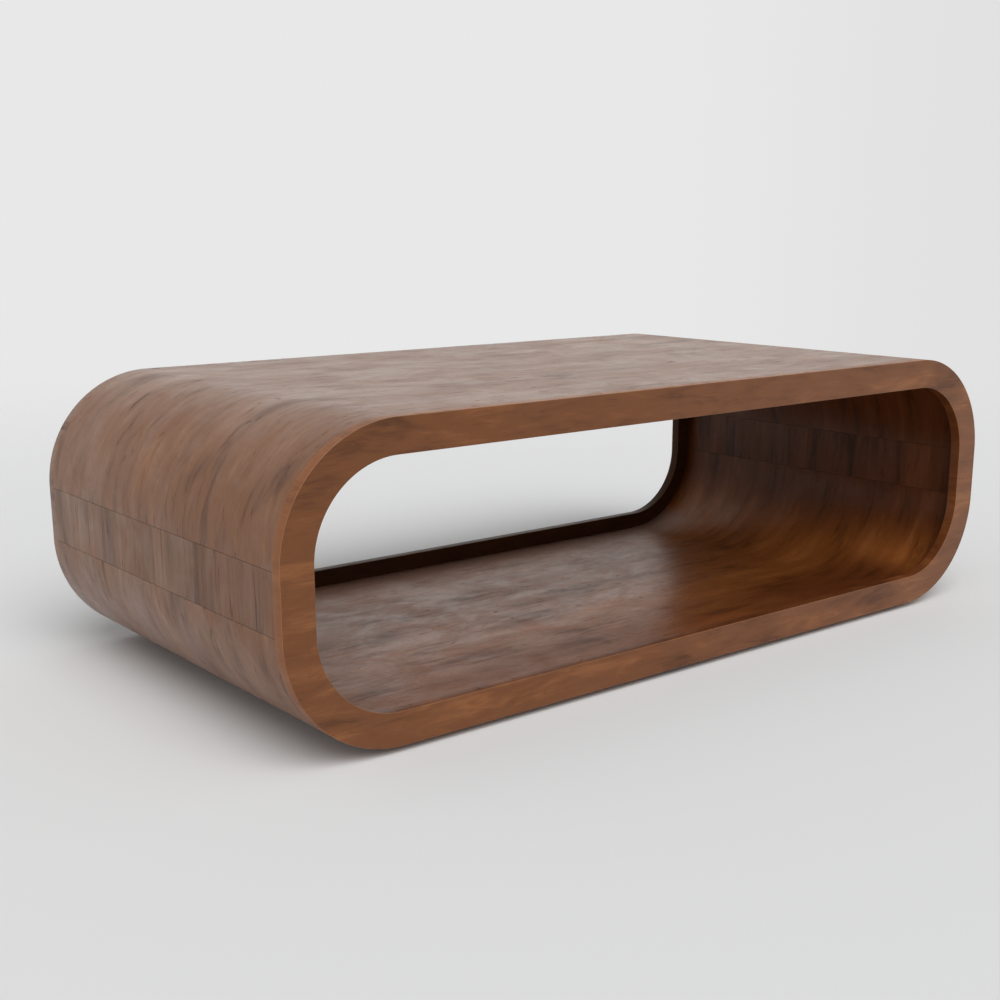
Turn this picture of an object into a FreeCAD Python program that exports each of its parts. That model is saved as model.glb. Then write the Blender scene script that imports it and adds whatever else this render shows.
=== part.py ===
import FreeCAD, Part
import math
import os

import Sketcher

"""A low center table: a flat loop of bent panels, open front to back, with a frame on each face.

The frame of reference has +X along the table, +Y to the back and +Z up. Its origin is on the
floor, under the middle of the table. Everything is in millimetres.

The loop is four panels: a top and a base, each with its two bends, and a straight strip on
each side. They meet in four seams, where the bends run into the strips, over a loose spline.
A panel is a core with a veneer on both faces. A frame is a flat ring, wider than the panels
are thick, so it stands in from them as a lip. Loose tongues hold it to the panels' edges.
"""

# Every driving size: its name, its value and what it measures.
SIZES = [
    ("length", 1200, "overall, along X"),
    ("depth", 600, "overall, along Y"),
    ("height", 360, "overall, along Z"),
    ("bend_radius", 145, "outside of the four bends"),
    ("panel_core", 13, "thickness of a bent panel's core"),
    ("face_veneer", 1, "thickness of the veneer on each face of a panel"),
    ("seam_gap", 0.8, "width of the shadow line between two panels' veneers"),
    ("frame_width", 40, "width of a frame, from its outline inwards"),
    ("frame_core", 13, "thickness of a frame's core"),
    ("frame_veneer", 1, "thickness of the veneer on each face of a frame"),
    ("lipping", 1.5, "thickness of the strip bent round a frame's edges"),
    ("arris", 0.7, "width of the chamfer on the frames' edges that a hand meets"),
    ("spline_thickness", 4, "loose spline, across the panel"),
    ("spline_share", 0.23, "width of a spline across its seam, as a share of a side strip's height"),
    ("spline_clearance", 0.1, "on each side of a spline in its groove"),
    ("spline_end_gap", 1, "room for glue at the bottom of a groove"),
    ("tongue_thickness", 4, "loose tongue between a frame and a panel's edge, across the panel"),
    ("tongue_width", 20, "the same tongue, front to back"),
    ("tongue_in_frame", 10, "how far a tongue enters the frame"),
    ("tongue_clearance", 0.1, "on each side of a tongue in its groove"),
    ("tongue_end_gap", 1, "room for glue at the bottom of its groove"),
    ("tongue_margin", 40, "from the end of a flat to its tongue's end"),
    ("side_tongue_share", 0.6, "length of a side strip's tongue, as a share of the strip's height"),
]

# Sizes that follow from the driving ones, as expressions.
PANEL = "(Sizes.panel_core + 2 * Sizes.face_veneer)"
FRAME = "(Sizes.frame_core + 2 * Sizes.frame_veneer)"
PANEL_DEPTH = f"(Sizes.depth - 2 * {FRAME})"
SIDE_HEIGHT = "(Sizes.height - 2 * Sizes.bend_radius)"
FLAT = "(Sizes.length - 2 * Sizes.bend_radius)"
MIDDLE_RADIUS = f"(Sizes.bend_radius - {PANEL} / 2)"
SIDE_MIDDLE = f"(Sizes.length / 2 - {PANEL} / 2)"
GROOVE_WIDTH = "(Sizes.spline_thickness + 2 * Sizes.spline_clearance)"
SPLINE_WIDTH = f"({SIDE_HEIGHT} * Sizes.spline_share)"
GROOVE_HEIGHT = f"({SPLINE_WIDTH} + 2 * Sizes.spline_end_gap)"
TONGUE_SLOT = "(Sizes.tongue_thickness + 2 * Sizes.tongue_clearance)"
SLOT_IN_PANEL = "(Sizes.tongue_width - Sizes.tongue_in_frame + Sizes.tongue_end_gap)"
SLOT_IN_FRAME = "(Sizes.tongue_in_frame - Sizes.frame_veneer + Sizes.tongue_end_gap)"
FLAT_TONGUE = f"({FLAT} - 2 * Sizes.tongue_margin)"
SIDE_TONGUE = f"({SIDE_HEIGHT} * Sizes.side_tongue_share)"

# The tongues in a frame: place from its middle, length along X and Z, None where it is the thickness.
FLAT_MIDDLE = f"(Sizes.height / 2 - {PANEL} / 2)"
TONGUES = {
    "top": ("0", FLAT_MIDDLE, FLAT_TONGUE, None),
    "base": ("0", f"-{FLAT_MIDDLE}", FLAT_TONGUE, None),
    "left": (f"-{SIDE_MIDDLE}", "0", None, SIDE_TONGUE),
    "right": (SIDE_MIDDLE, "0", None, SIDE_TONGUE),
}

# A sketch's own numbers for its two axes and for the points of a line or an arc.
UP_AXIS, ACROSS_AXIS = range(-2, 0)
START, END, CENTRE = range(1, 4)
ORIGIN = (ACROSS_AXIS, START)
RIGHT_ANGLE = math.pi / 2
TOUCH = 1e-6

doc = FreeCAD.newDocument("center_table")
sheet = doc.addObject("Spreadsheet::Sheet", "Sizes")
for row, (alias, size, meaning) in enumerate(SIZES, start=1):
    sheet.set(f"A{row}", alias)
    sheet.set(f"B{row}", str(size))
    sheet.set(f"C{row}", meaning)
    sheet.setAlias(f"B{row}", alias)
doc.recompute()
parts = []


def value(expression):
    """The present value of an expression over the sheet."""
    result = sheet.evalExpression(expression)
    return float(getattr(result, "Value", result))


def new_body(label, base=None, axis=None):
    """An empty body in its place: base maps x, y or z to an expression, axis turns it half round."""
    body = doc.addObject("PartDesign::Body", label)
    body.Label = label
    if axis is not None:
        body.Placement.Rotation = FreeCAD.Rotation(axis, math.degrees(2 * RIGHT_ANGLE))
    for direction, expression in (base or {}).items():
        body.setExpression(f".Placement.Base.{direction}", expression)
    parts.append(body)
    return body


def face_sketch(body, name, offset=None):
    """A sketch on the body's XZ plane, seen from the front; an offset moves it towards the back."""
    sketch = body.newObject("Sketcher::SketchObject", f"{body.Label}_{name}")
    plane = next(o for o in body.Origin.OriginFeatures if o.Role == "XZ_Plane")
    sketch.AttachmentSupport = [(plane, "")]
    sketch.MapMode = "FlatFace"
    if offset is not None:
        sketch.setExpression(".AttachmentOffset.Base.z", f"-{offset}")
    return sketch


def bind(sketch, kind, *args):
    """A dimension whose last argument is the expression that drives it."""
    *places, expression = args
    index = sketch.addConstraint(Sketcher.Constraint(kind, *places, value(expression)))
    sketch.setExpression(f"Constraints[{index}]", expression)


def hold(sketch, kind, *places):
    """A constraint without a dimension."""
    sketch.addConstraint(Sketcher.Constraint(kind, *places))


def pin(sketch, geo, point, across, up):
    """Hold a point at a place given by two expressions from the sketch's origin."""
    for kind, expression, axis in (("DistanceX", across, UP_AXIS), ("DistanceY", up, ACROSS_AXIS)):
        place = value(expression)
        if abs(place) < TOUCH:
            hold(sketch, "PointOnObject", geo, point, axis)
        elif place > 0:
            bind(sketch, kind, *ORIGIN, geo, point, expression)
        else:
            bind(sketch, kind, geo, point, *ORIGIN, f"-({expression})")


def line(sketch, start, end):
    """A line between two points; gives its number."""
    return sketch.addGeometry(Part.LineSegment(FreeCAD.Vector(*start, 0), FreeCAD.Vector(*end, 0)))


def arc(sketch, centre, radius, low, high):
    """A counter-clockwise arc between two angles; gives its number."""
    circle = Part.Circle(FreeCAD.Vector(*centre, 0), FreeCAD.Vector(0, 0, 1), radius)
    return sketch.addGeometry(Part.ArcOfCircle(circle, low, high))


def bend_arc(sketch, centre, radius, quarter):
    """A quarter round that fills one quarter of the circle, counted from +X; gives its number."""
    return arc(sketch, centre, radius, quarter * RIGHT_ANGLE, (quarter + 1) * RIGHT_ANGLE)


def rectangle(sketch, across, up, width, height):
    """An upright rectangle with its middle at a place given by expressions."""
    x, z = value(across), value(up)
    right, top = value(width) / 2, value(height) / 2
    corners = [(x - right, z - top), (x + right, z - top), (x + right, z + top), (x - right, z + top)]
    sides = [line(sketch, corners[i - 1], corners[i]) for i in range(len(corners))]
    for i, side in enumerate(sides):
        hold(sketch, "Coincident", sides[i - 1], END, side, START)
    left_side, bottom, right_side, top_side = sides
    for side in (bottom, top_side):
        hold(sketch, "Horizontal", side)
    for side in (left_side, right_side):
        hold(sketch, "Vertical", side)
    middle = sketch.addGeometry(Part.Point(FreeCAD.Vector(x, z, 0)), True)
    hold(sketch, "Symmetric", bottom, START, top_side, START, middle, START)
    pin(sketch, middle, START, across, up)
    bind(sketch, "DistanceX", bottom, START, bottom, END, width)
    bind(sketch, "DistanceY", right_side, START, right_side, END, height)


def rounded_outline(sketch, inset):
    """The table's outline seen from the front, moved inwards by an expression."""
    width, height = f"Sizes.length - 2 * {inset}", f"Sizes.height - 2 * {inset}"
    radius = f"Sizes.bend_radius - {inset}"
    flat, side, bend = value(FLAT) / 2, value(SIDE_HEIGHT) / 2, value(radius)
    right, top = flat + bend, side + bend
    top_line = line(sketch, (flat, top), (-flat, top))
    left_line = line(sketch, (-right, side), (-right, -side))
    bottom_line = line(sketch, (-flat, -top), (flat, -top))
    right_line = line(sketch, (right, -side), (right, side))
    bends = [
        (right_line, bend_arc(sketch, (flat, side), bend, 0), top_line),
        (top_line, bend_arc(sketch, (-flat, side), bend, 1), left_line),
        (left_line, bend_arc(sketch, (-flat, -side), bend, 2), bottom_line),
        (bottom_line, bend_arc(sketch, (flat, -side), bend, 3), right_line),
    ]
    for before, corner, after in bends:
        hold(sketch, "Tangent", before, END, corner, START)
        hold(sketch, "Tangent", corner, END, after, START)
    for straight in (top_line, bottom_line):
        hold(sketch, "Horizontal", straight)
    for straight in (left_line, right_line):
        hold(sketch, "Vertical", straight)
    first = bends[0][1]
    for _, corner, _ in bends[1:]:
        hold(sketch, "Equal", first, corner)
    hold(sketch, "Symmetric", top_line, START, bottom_line, START, *ORIGIN)
    bind(sketch, "DistanceX", left_line, START, right_line, END, width)
    bind(sketch, "DistanceY", bottom_line, START, top_line, END, height)
    bind(sketch, "Radius", first, radius)


def arch_outline(sketch, outer, inner, rise):
    """A flat with a quarter bend down at each end, between two radii.

    The bends' centres lie on the across axis. The ends stop at the height rise above it.
    """
    flat, big, small, low = value(FLAT) / 2, value(outer), value(inner), value(rise)
    big_end, small_end = math.asin(low / big), math.asin(low / small)
    outer_line = line(sketch, (flat, big), (-flat, big))
    outer_left = arc(sketch, (-flat, 0), big, RIGHT_ANGLE, 2 * RIGHT_ANGLE - big_end)
    left_end = line(sketch, (-flat - big, low), (-flat - small, low))
    inner_left = arc(sketch, (-flat, 0), small, RIGHT_ANGLE, 2 * RIGHT_ANGLE - small_end)
    inner_line = line(sketch, (-flat, small), (flat, small))
    inner_right = arc(sketch, (flat, 0), small, small_end, RIGHT_ANGLE)
    right_end = line(sketch, (flat + small, low), (flat + big, low))
    outer_right = arc(sketch, (flat, 0), big, big_end, RIGHT_ANGLE)
    hold(sketch, "Tangent", outer_right, END, outer_line, START)
    hold(sketch, "Tangent", outer_line, END, outer_left, START)
    hold(sketch, "Tangent", inner_left, START, inner_line, START)
    hold(sketch, "Tangent", inner_line, END, inner_right, END)
    hold(sketch, "Coincident", outer_left, END, left_end, START)
    hold(sketch, "Coincident", left_end, END, inner_left, END)
    hold(sketch, "Coincident", inner_right, START, right_end, START)
    hold(sketch, "Coincident", right_end, END, outer_right, START)
    hold(sketch, "Coincident", outer_left, CENTRE, inner_left, CENTRE)
    hold(sketch, "Coincident", outer_right, CENTRE, inner_right, CENTRE)
    hold(sketch, "Equal", outer_left, outer_right)
    hold(sketch, "Equal", inner_left, inner_right)
    hold(sketch, "Symmetric", outer_left, CENTRE, outer_right, CENTRE, *ORIGIN)
    hold(sketch, "PointOnObject", outer_right, CENTRE, ACROSS_AXIS)
    bind(sketch, "DistanceX", outer_left, CENTRE, outer_right, CENTRE, FLAT)
    bind(sketch, "Radius", outer_right, outer)
    bind(sketch, "Radius", inner_right, inner)
    for geo, point in ((outer_left, END), (inner_left, END), (inner_right, START), (outer_right, START)):
        if low < TOUCH:
            hold(sketch, "PointOnObject", geo, point, ACROSS_AXIS)
        else:
            bind(sketch, "DistanceY", *ORIGIN, geo, point, rise)


def pad_through(body, sketch, length):
    """Pad a sketch evenly to the front and the back."""
    pad = body.newObject("PartDesign::Pad", f"{body.Label}_pad")
    pad.Profile = sketch
    pad.SideType = "Symmetric"
    pad.setExpression("Length", length)
    doc.recompute()


def pad_back(body, sketch, length):
    """Pad a sketch towards the body's own back."""
    pad = body.newObject("PartDesign::Pad", f"{body.Label}_pad")
    pad.Profile = sketch
    pad.Reversed = True
    pad.setExpression("Length", length)
    doc.recompute()


def cut(body, sketch, length, name, backwards=False, even=False):
    """Pocket a sketch and make sure that it takes something away."""
    before = body.Shape.Volume
    pocket = body.newObject("PartDesign::Pocket", f"{body.Label}_{name}")
    pocket.Profile = sketch
    pocket.setExpression("Length", length)
    if even:
        pocket.SideType = "Symmetric"
    pocket.Reversed = backwards
    doc.recompute()
    if not body.Shape.Volume < before:
        raise ValueError(f"{pocket.Name} cuts nothing")
    return pocket


def mirror_to_back(body, feature):
    """Repeat a feature at the other end of the body, front to back."""
    before = body.Shape.Volume
    mirror = body.newObject("PartDesign::Mirrored", f"{feature.Name}_mirror")
    mirror.Originals = [feature]
    plane = next(o for o in body.Origin.OriginFeatures if o.Role == "XZ_Plane")
    mirror.MirrorPlane = (plane, [""])
    body.Tip = mirror
    doc.recompute()
    if not body.Shape.Volume < before:
        raise ValueError(f"{mirror.Name} changes nothing")


def ease_edges(body, edges):
    """Chamfer the given edges of the body's last feature by the arris size."""
    base = body.Tip
    names = [f"Edge{i}" for i, edge in enumerate(base.Shape.Edges, start=1)
             if any(edge.isSame(chosen) for chosen in edges)]
    chamfer = body.newObject("PartDesign::Chamfer", f"{body.Label}_arris")
    chamfer.Base = (base, names)
    chamfer.setExpression("Size", "Sizes.arris")
    doc.recompute()


def flat_wires(body, at):
    """The outer and inner wire of the body's flat face at a place along its own Y."""
    shape = body.Tip.Shape
    face = next(f for f in shape.Faces if f.BoundBox.YLength < TOUCH and abs(f.BoundBox.YMin - at) < TOUCH)
    outer = face.OuterWire
    inner = next(w for w in face.Wires if not w.isSame(outer))
    return outer, inner


def tongue_slot(sketch, across, up, width, height):
    """The outline of a tongue's groove: its size with a clearance on each side."""
    slot_width = f"({width} + 2 * Sizes.tongue_clearance)" if width else TONGUE_SLOT
    slot_height = f"({height} + 2 * Sizes.tongue_clearance)" if height else TONGUE_SLOT
    rectangle(sketch, across, up, slot_width, slot_height)


def edge_grooves(body, across, up, width, height):
    """A stopped groove for a tongue in the front and back edge of a panel's core."""
    sketch = face_sketch(body, "edge_groove", offset=f"-{PANEL_DEPTH} / 2")
    tongue_slot(sketch, across, up, width, height)
    mirror_to_back(body, cut(body, sketch, SLOT_IN_PANEL, "edge_grooving"))


def bent_panel(name, level, axis=None):
    """A core with its grooves, and the veneers on both of its faces."""
    core_outer = "(Sizes.bend_radius - Sizes.face_veneer)"
    core_inner = f"(Sizes.bend_radius - {PANEL} + Sizes.face_veneer)"
    layers = [
        ("core", core_outer, core_inner, "0"),
        ("outer_veneer", "Sizes.bend_radius", core_outer, "Sizes.seam_gap / 2"),
        ("inner_veneer", core_inner, f"(Sizes.bend_radius - {PANEL})", "Sizes.seam_gap / 2"),
    ]
    for layer, outer, inner, rise in layers:
        body = new_body(f"{name}_{layer}", {"z": level}, axis)
        profile = face_sketch(body, "profile")
        arch_outline(profile, outer, inner, rise)
        pad_through(body, profile, PANEL_DEPTH)
        if layer == "core":
            grooves = face_sketch(body, "grooves")
            for across in (f"-{SIDE_MIDDLE}", SIDE_MIDDLE):
                rectangle(grooves, across, "0", GROOVE_WIDTH, GROOVE_HEIGHT)
            cut(body, grooves, PANEL_DEPTH, "grooving", even=True)
            edge_grooves(body, "0", MIDDLE_RADIUS, FLAT_TONGUE, None)


def side_strip(name, sign):
    """The straight strip between two seams: its core and its veneers."""
    offset = f"({PANEL} - Sizes.face_veneer) / 2"
    veneer_height = f"({SIDE_HEIGHT} - Sizes.seam_gap)"
    layers = [
        ("core", "0", "Sizes.panel_core", SIDE_HEIGHT),
        ("outer_veneer", offset, "Sizes.face_veneer", veneer_height),
        ("inner_veneer", f"-{offset}", "Sizes.face_veneer", veneer_height),
    ]
    for layer, out, thickness, height in layers:
        place = {"x": f"{sign}({SIDE_MIDDLE} + {out})", "z": "Sizes.height / 2"}
        body = new_body(f"{name}_{layer}", place)
        profile = face_sketch(body, "profile")
        rectangle(profile, "0", "0", thickness, height)
        pad_through(body, profile, PANEL_DEPTH)
        if layer == "core":
            grooves = face_sketch(body, "grooves")
            for up in (f"-{SIDE_HEIGHT} / 2", f"{SIDE_HEIGHT} / 2"):
                rectangle(grooves, "0", up, GROOVE_WIDTH, GROOVE_HEIGHT)
            cut(body, grooves, PANEL_DEPTH, "grooving", even=True)
            edge_grooves(body, "0", "0", None, SIDE_TONGUE)


def splines():
    """One loose spline in each seam, as long as the panels are deep."""
    levels = {"upper": "Sizes.height - Sizes.bend_radius", "lower": "Sizes.bend_radius"}
    for side, sign in (("left", "-"), ("right", "")):
        for level, height in levels.items():
            body = new_body(f"{level}_{side}_spline", {"x": f"{sign}{SIDE_MIDDLE}", "z": height})
            profile = face_sketch(body, "profile")
            rectangle(profile, "0", "0", "Sizes.spline_thickness", SPLINE_WIDTH)
            pad_through(body, profile, PANEL_DEPTH)


def ring(name, inward, outer, inner, thickness, turn, side):
    """A flat ring round the opening: inward is its depth below the frame's face."""
    sign = "-" if side == "front" else ""
    place = {"y": f"{sign}(Sizes.depth / 2 - {inward})", "z": "Sizes.height / 2"}
    body = new_body(f"{side}_{name}", place, turn)
    profile = face_sketch(body, "profile")
    rounded_outline(profile, outer)
    rounded_outline(profile, inner)
    pad_back(body, profile, thickness)
    return body


def face_frame(side, turn=None):
    """A frame: its core, the veneers on both faces and the lippings round both edges."""
    inner = "(Sizes.frame_width - Sizes.lipping)"
    ring("face_veneer", "0", "Sizes.lipping", inner, "Sizes.frame_veneer", turn, side)

    core = ring("frame_core", "Sizes.frame_veneer", "Sizes.lipping", inner, "Sizes.frame_core", turn, side)
    blind = face_sketch(core, "grooves", offset="Sizes.frame_core")
    under = "(Sizes.frame_veneer + Sizes.frame_core)"
    backing = ring("backing_veneer", under, "Sizes.lipping", inner, "Sizes.frame_veneer", turn, side)
    through = face_sketch(backing, "slots")
    for place in TONGUES.values():
        tongue_slot(blind, *place)
        tongue_slot(through, *place)
    cut(core, blind, SLOT_IN_FRAME, "grooving", backwards=True)
    cut(backing, through, "Sizes.frame_veneer", "slotting")

    outer_lipping = ring("outer_lipping", "0", "0", "Sizes.lipping", FRAME, turn, side)
    outer_edge, _ = flat_wires(outer_lipping, 0)
    ease_edges(outer_lipping, outer_edge.Edges)

    inner_lipping = ring("inner_lipping", "0", inner, "Sizes.frame_width", FRAME, turn, side)
    _, front_edge = flat_wires(inner_lipping, 0)
    _, back_edge = flat_wires(inner_lipping, value(FRAME))
    ease_edges(inner_lipping, front_edge.Edges + back_edge.Edges)


def frame_tongues(side):
    """The loose tongues that hold a frame to the panels: one in each flat and each side strip."""
    sign = "-" if side == "front" else ""
    middle = f"({PANEL_DEPTH} / 2 + Sizes.tongue_in_frame - Sizes.tongue_width / 2)"
    for name, (across, up, width, height) in TONGUES.items():
        place = {"x": across, "y": f"{sign}{middle}", "z": f"Sizes.height / 2 + {up}"}
        body = new_body(f"{side}_{name}_tongue", place)
        profile = face_sketch(body, "profile")
        rectangle(profile, "0", "0", width or "Sizes.tongue_thickness", height or "Sizes.tongue_thickness")
        pad_through(body, profile, "Sizes.tongue_width")


def check_and_write():
    """Stop on anything that failed; otherwise write one file for each sub-part."""
    for thing in doc.Objects:
        if {"Invalid", "Error"} & set(thing.State):
            raise ValueError(f"{thing.Name} failed: {thing.State}")
        if thing.isDerivedFrom("Sketcher::SketchObject") and not thing.FullyConstrained:
            raise ValueError(f"{thing.Name} isn't fully constrained")
    for body in parts:
        if body.Shape.isNull() or not body.Shape.isValid():
            raise ValueError(f"{body.Label} has no valid shape")
    os.makedirs("parts", exist_ok=True)
    for body in parts:
        body.Shape.exportStep(f"parts/{body.Label}.step")
        box = body.Shape.optimalBoundingBox()
        print(f"{body.Label}: {len(body.Shape.Solids)} solid(s), {box.XLength:.1f} x {box.YLength:.1f}"
              f" x {box.ZLength:.1f}, from z {box.ZMin:.1f}")


bent_panel("top", "Sizes.height - Sizes.bend_radius")
bent_panel("base", "Sizes.bend_radius", FreeCAD.Vector(0, 1, 0))
side_strip("left_side", "-")
side_strip("right_side", "")
splines()
face_frame("front")
face_frame("back", FreeCAD.Vector(0, 0, 1))
frame_tongues("front")
frame_tongues("back")
doc.recompute()
check_and_write()
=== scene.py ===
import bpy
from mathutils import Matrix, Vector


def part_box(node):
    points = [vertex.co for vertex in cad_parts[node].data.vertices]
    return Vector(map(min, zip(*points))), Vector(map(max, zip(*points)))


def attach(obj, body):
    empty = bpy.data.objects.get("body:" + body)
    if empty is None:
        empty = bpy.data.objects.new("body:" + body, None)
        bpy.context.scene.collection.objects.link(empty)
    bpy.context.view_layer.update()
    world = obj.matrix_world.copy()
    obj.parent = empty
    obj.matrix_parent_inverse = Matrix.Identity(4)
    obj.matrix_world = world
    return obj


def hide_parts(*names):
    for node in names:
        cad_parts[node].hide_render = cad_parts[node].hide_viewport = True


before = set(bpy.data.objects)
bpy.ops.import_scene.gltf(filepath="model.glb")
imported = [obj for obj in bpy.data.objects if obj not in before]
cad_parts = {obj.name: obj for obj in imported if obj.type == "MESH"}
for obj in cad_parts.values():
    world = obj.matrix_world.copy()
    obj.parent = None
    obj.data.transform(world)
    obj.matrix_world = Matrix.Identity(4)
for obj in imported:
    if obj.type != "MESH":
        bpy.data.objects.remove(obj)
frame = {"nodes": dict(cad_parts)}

"""The looks of a low center table: a flat loop of bent walnut panels between two flat frames.

The loop's veneers, the frames' veneers and the lippings are built here, finer than the CAD
nodes that they stand for. The cores, splines and tongues stay as they are and get a material.
Everything is in metres, +X along the table, +Y to the back and +Z up from the table's foot.
"""

import logging
import math
from dataclasses import dataclass, field, replace
from enum import Enum
from typing import Callable, Iterable, Optional, Sequence, Union

import bpy
import numpy as np
from mathutils import Vector

log = logging.getLogger("center_table")

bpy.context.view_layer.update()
QUARTER_TURN = math.pi / 2

# The attributes that carry each face corner's place in the veneer, and its wear and painted highlight.
GRAIN = "grain"
WORN_AND_HIGHLIGHT = "worn"

Colour = tuple[float, float, float, float]
Span = tuple[float, float]
Feed = Union[float, Sequence[float], bpy.types.NodeSocket]


class Titled(Enum):
    """An option whose title is its part of the CAD nodes' names."""

    @property
    def title(self) -> str:
        """The option's name in small letters."""
        return self.name.lower()


class Side(Titled):
    """The two faces of the table, with the way that each looks along Y."""

    FRONT = -1
    BACK = 1


class Level(Titled):
    """The two bent panels of the loop, with the way that each bulges along Z."""

    TOP = 1
    BASE = -1


class End(Titled):
    """The two ends of the table, with the way that each looks along X."""

    LEFT_SIDE = -1
    RIGHT_SIDE = 1


class Run(Enum):
    """Which way the grain of a piece runs."""

    ROUND_THE_LOOP = "round the loop"
    ALONG_THE_TABLE = "along the table"


@dataclass(frozen=True)
class TableSizes:
    """The sizes that all pieces share, taken from the boxes of the CAD nodes."""

    length: float
    depth: float
    height: float
    bend: float
    panel: float
    veneer: float
    seam_gap: float
    frame: float
    frame_width: float
    frame_veneer: float
    lipping: float

    @classmethod
    def measured(cls) -> "TableSizes":
        """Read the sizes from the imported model.

        Returns:
            The sizes in metres.
        """
        outline_low, outline_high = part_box("front_outer_lipping")
        _, back_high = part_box("back_outer_lipping")
        face_low, face_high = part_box("front_face_veneer")
        opening_low, opening_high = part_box("front_inner_lipping")
        strip_low, strip_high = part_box("left_side_core")
        skin_low, skin_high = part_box("left_side_outer_veneer")
        _, inside_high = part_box("left_side_inner_veneer")
        length = outline_high.x - outline_low.x
        height = outline_high.z - outline_low.z
        lipping = (length - (face_high.x - face_low.x)) / 2
        strip = strip_high.z - strip_low.z
        return cls(
            length=length,
            depth=back_high.y - outline_low.y,
            height=height,
            bend=(height - strip) / 2,
            panel=inside_high.x - skin_low.x,
            veneer=skin_high.x - skin_low.x,
            seam_gap=strip - (skin_high.z - skin_low.z),
            frame=outline_high.y - outline_low.y,
            frame_width=(length - (opening_high.x - opening_low.x)) / 2 + lipping,
            frame_veneer=face_high.y - face_low.y,
            lipping=lipping,
        )

    @property
    def flat(self) -> float:
        """Half the length of the flats between the bends."""
        return self.length / 2 - self.bend

    @property
    def strip(self) -> float:
        """Height of the straight strip between the two seams of an end."""
        return self.height - 2 * self.bend

    @property
    def seams(self) -> Span:
        """Heights of the two seams of an end."""
        return self.bend, self.height - self.bend

    @property
    def panel_edge(self) -> float:
        """How far the panels reach from the middle of the depth."""
        return self.depth / 2 - self.frame


SIZES = TableSizes.measured()

# How far the loop's veneers reach into each seam past the CAD ones, so that it reads as a fine line.
SEAM_LAP = 0.0002


@dataclass(frozen=True)
class Outline:
    """The rounded outline of the table, as a way to measure round the loop.

    A point on a flat is measured along it, where its turn is within the tolerance of a quarter.
    """

    sizes: TableSizes
    tolerance: float = 1e-5

    @property
    def middle_radius(self) -> float:
        """Radius of the bends halfway through a panel."""
        return self.sizes.bend - self.sizes.panel / 2

    @property
    def whole(self) -> float:
        """Length of the loop halfway through a panel."""
        straight = 4 * self.sizes.flat + 2 * self.sizes.strip
        return straight + 4 * QUARTER_TURN * self.middle_radius

    def place(self, point: Vector) -> Span:
        """Measure a point round the loop, from the foot of the right end upwards.

        Args:
            point: a place on or near the panels.

        Returns:
            The way round the loop, and how far out the point lies from the bend centres.
        """
        flat = self.sizes.flat
        low, high = self.sizes.seams
        across = min(max(point.x, -flat), flat)
        up = min(max(point.z, low), high)
        out = Vector((point.x - across, 0, point.z - up))
        angle = math.atan2(out.z, out.x) % (2 * math.pi)
        runs = [up - low, flat - across, high - up, across + flat]
        spans = [high - low, 2 * flat, high - low, 2 * flat]
        quarters = angle / QUARTER_TURN
        nearest = round(quarters)
        if nearest < len(runs) and abs(quarters - nearest) < self.tolerance:
            straight = sum(spans[:nearest]) + runs[nearest]
        else:
            straight = sum(span for i, span in enumerate(spans) if quarters > i)
        return straight + angle * self.middle_radius, out.length


OUTLINE = Outline(SIZES)


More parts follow.
